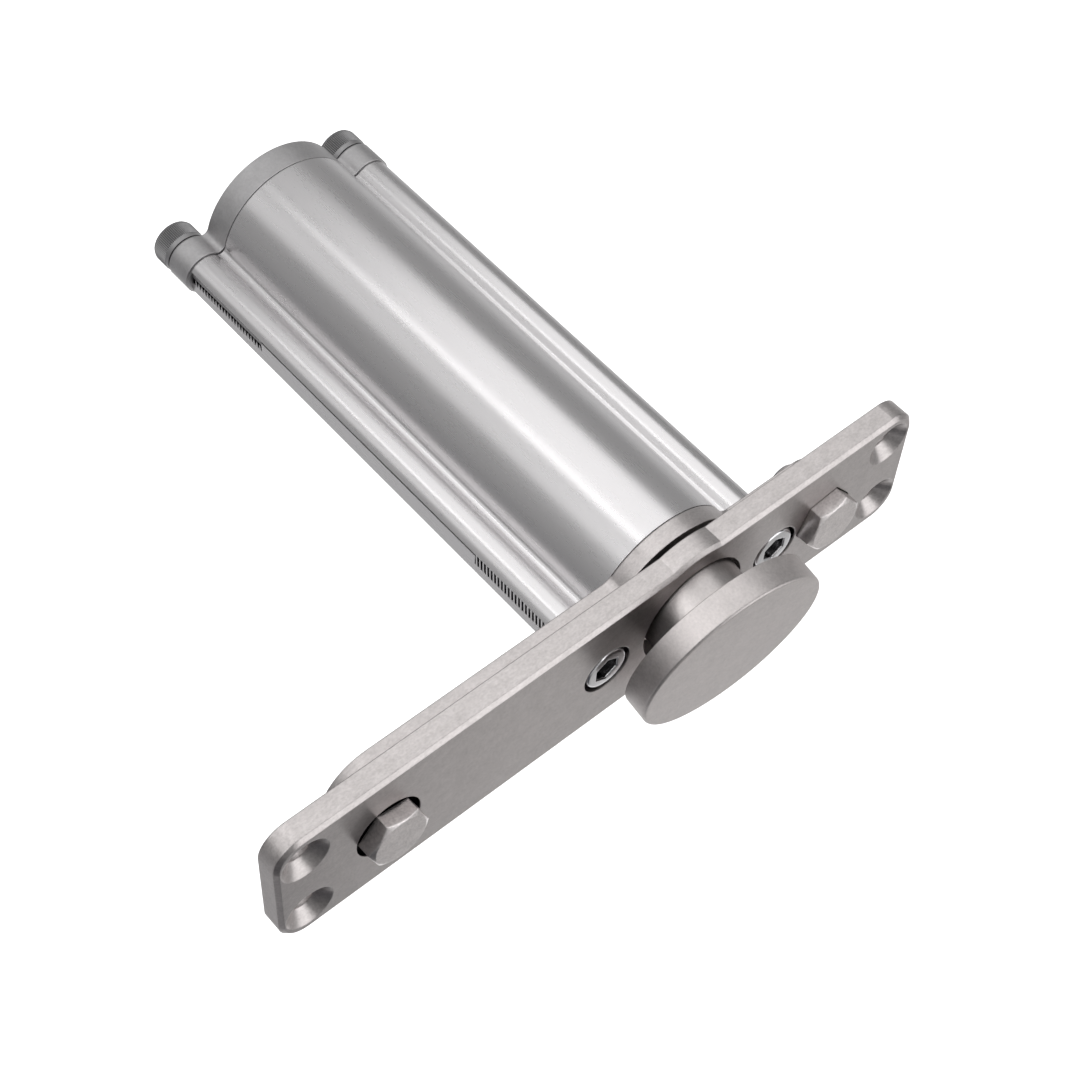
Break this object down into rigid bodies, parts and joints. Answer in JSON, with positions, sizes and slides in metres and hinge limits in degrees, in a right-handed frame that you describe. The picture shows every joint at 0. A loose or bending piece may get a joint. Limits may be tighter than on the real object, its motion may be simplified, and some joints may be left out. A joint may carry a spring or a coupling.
{
  "type": "pivot hinge",
  "caption": "Door pivot hinge: long face plate with adjusting bolts, round housing with screw lobes behind it, and a floor disc on the spindle in front.",
  "frame": {"origin": "the point where the pivot axis meets the front of the face plate", "axes": "+Y runs along the pivot axis into the door, +X along the face plate towards its short end, +Z across the face plate"},
  "size_m": [0.155, 0.1526, 0.0424],
  "materials": {
    "brushed_stainless": "brushed",
    "turned_stainless": "satin",
    "anodised_aluminium": "satin anodised",
    "bright_steel": "polished",
    "dark_steel": "dull phosphate",
    "spring_steel": "oiled",
    "rubber": "matt"
  },
  "bodies": {
    "housing": {"face_plate": "brushed_stainless", "adapter_plate": "brushed_stainless", "housing_tube": "anodised_aluminium", "rear_cap": "anodised_aluminium", "adapter_cap_screws": "bright_steel", "rear_cap_screws": "dark_steel", "hex_adjusting_bolts": "turned_stainless", "spacer_washers": "bright_steel", "gland_ring": "dark_steel", "gland_o_ring": "rubber", "shaft_seal": "rubber", "bearing_outer_ring": "bright_steel", "bearing_balls": "bright_steel", "thrust_rear_race": "bright_steel", "thrust_balls": "bright_steel", "thrust_support_ring": "dark_steel", "front_spring_seat": "dark_steel", "front_spring": "spring_steel", "rear_spring": "spring_steel", "rear_spring_seat": "dark_steel", "cap_o_ring": "rubber", "filler_plug": "dark_steel"},
    "spindle": {"spindle": "bright_steel", "bearing_inner_ring": "bright_steel", "thrust_front_race": "bright_steel", "helix_sleeve": "dark_steel", "sleeve_nut": "bright_steel"},
    "floor_disc": {"floor_disc": "brushed_stainless"},
    "piston": {"piston": "anodised_aluminium", "piston_ring": "rubber", "drive_pins": "bright_steel"}
  },
  "joints": [
    {"name": "pivot", "type": "hinge", "parent": "housing", "child": "spindle", "pos_m": [0, 0, 0], "axis": [0, 1, 0], "range_deg": [-120, 120], "stiffness_Nm_per_rad": 0.25},
    {"name": "floor_disc_tilt", "type": "hinge", "parent": "spindle", "child": "floor_disc", "pos_m": [0, -0.005, 0], "axis": [0.9212, 0, -0.3891], "range_deg": [-8.4, 0]},
    {"name": "piston_slide", "type": "slide", "parent": "housing", "child": "piston", "axis": [0, 1, 0], "range_m": [-0.0147, 0.0147], "deforming": ["front_spring", "rear_spring"]}
  ],
  "couplings": [
    {"joint": "piston_slide", "follows": "pivot", "m_per_rad": 0.0070028}
  ]
}
